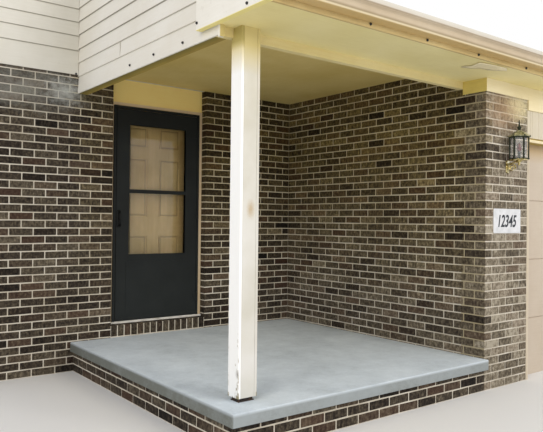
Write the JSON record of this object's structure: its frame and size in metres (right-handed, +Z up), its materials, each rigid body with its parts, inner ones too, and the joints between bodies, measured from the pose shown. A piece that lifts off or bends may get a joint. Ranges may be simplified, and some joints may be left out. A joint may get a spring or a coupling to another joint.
{
  "type": "entrance porch",
  "caption": "Brick entrance porch on a concrete slab, with a square post, an eave with a gutter, and a panelled door behind a glazed storm door.",
  "frame": {"origin": "middle of the base: halfway between left and right ends and between gutter and door knob, at ground level", "axes": "+X to the right along the house wall as seen from outside, +Y into the house, +Z up"},
  "size_m": [4.428, 3.291, 4.01],
  "materials": {
    "brick": "wire-cut brown brick with pale mortar",
    "concrete": "trowelled concrete",
    "plaster": "plain wall surface at a cut",
    "painted_wood": "cream paint",
    "white_wood": "worn white paint",
    "siding": "cream paint on lapped boards",
    "entry_paint": "tan paint",
    "storm_metal": "black satin paint",
    "glass": "clear",
    "gutter_metal": "beige baked paint",
    "shingle": "granule-faced asphalt",
    "flashing": "mill finish",
    "brass": "aged brass",
    "dark_metal": "black paint",
    "plate": "white enamel"
  },
  "bodies": {
    "porch": {"brick_skirt": "brick", "porch_slab": "concrete", "wall_left": "brick", "wall_right": "brick", "wall_over_door": "painted_wood", "upper_wall": "plaster", "garage_wall": "brick", "garage_pier": "brick", "party_wall": "plaster", "pier_frieze": "painted_wood", "garage_casing": "painted_wood", "garage_header": "painted_wood", "garage_door_edge": "painted_wood", "sill_bricks": "brick", "threshold": "plate", "door_frame": "painted_wood", "door_casing": "painted_wood", "head_panel": "painted_wood", "storm_frame": "storm_metal", "porch_post": "white_wood", "post_shoe": "dark_metal", "front_beam": "painted_wood", "gable_wall": "painted_wood", "side_siding": "siding", "corner_trim": "white_wood", "porch_ceiling": "painted_wood", "eave_soffit": "painted_wood", "fascia_board": "gutter_metal", "eave_end": "white_wood", "rake_board": "white_wood", "wall_siding": "siding", "roof_deck": "painted_wood", "roof_shingles": "shingle", "roof_flashing": "flashing", "rain_gutter": "gutter_metal", "lantern_bracket": "brass", "lantern_frame": "dark_metal", "lantern_glass": "glass", "number_plate": "plate"},
    "storm_door": {"storm_leaf": "storm_metal", "storm_glass": "glass", "kick_panel": "storm_metal", "storm_handle": "dark_metal"},
    "entry_door": {"entry_leaf": "entry_paint", "entry_knob": "brass"}
  },
  "joints": [
    {"name": "storm_hinge", "type": "hinge", "parent": "porch", "child": "storm_door", "pos_m": [-0.042, 1.4175, 1.415], "axis": [0, 0, 1], "range_deg": [0, 100]},
    {"name": "entry_hinge", "type": "hinge", "parent": "porch", "child": "entry_door", "pos_m": [-0.0325, 1.595, 1.415], "axis": [0, 0, -1], "range_deg": [0, 95]}
  ]
}
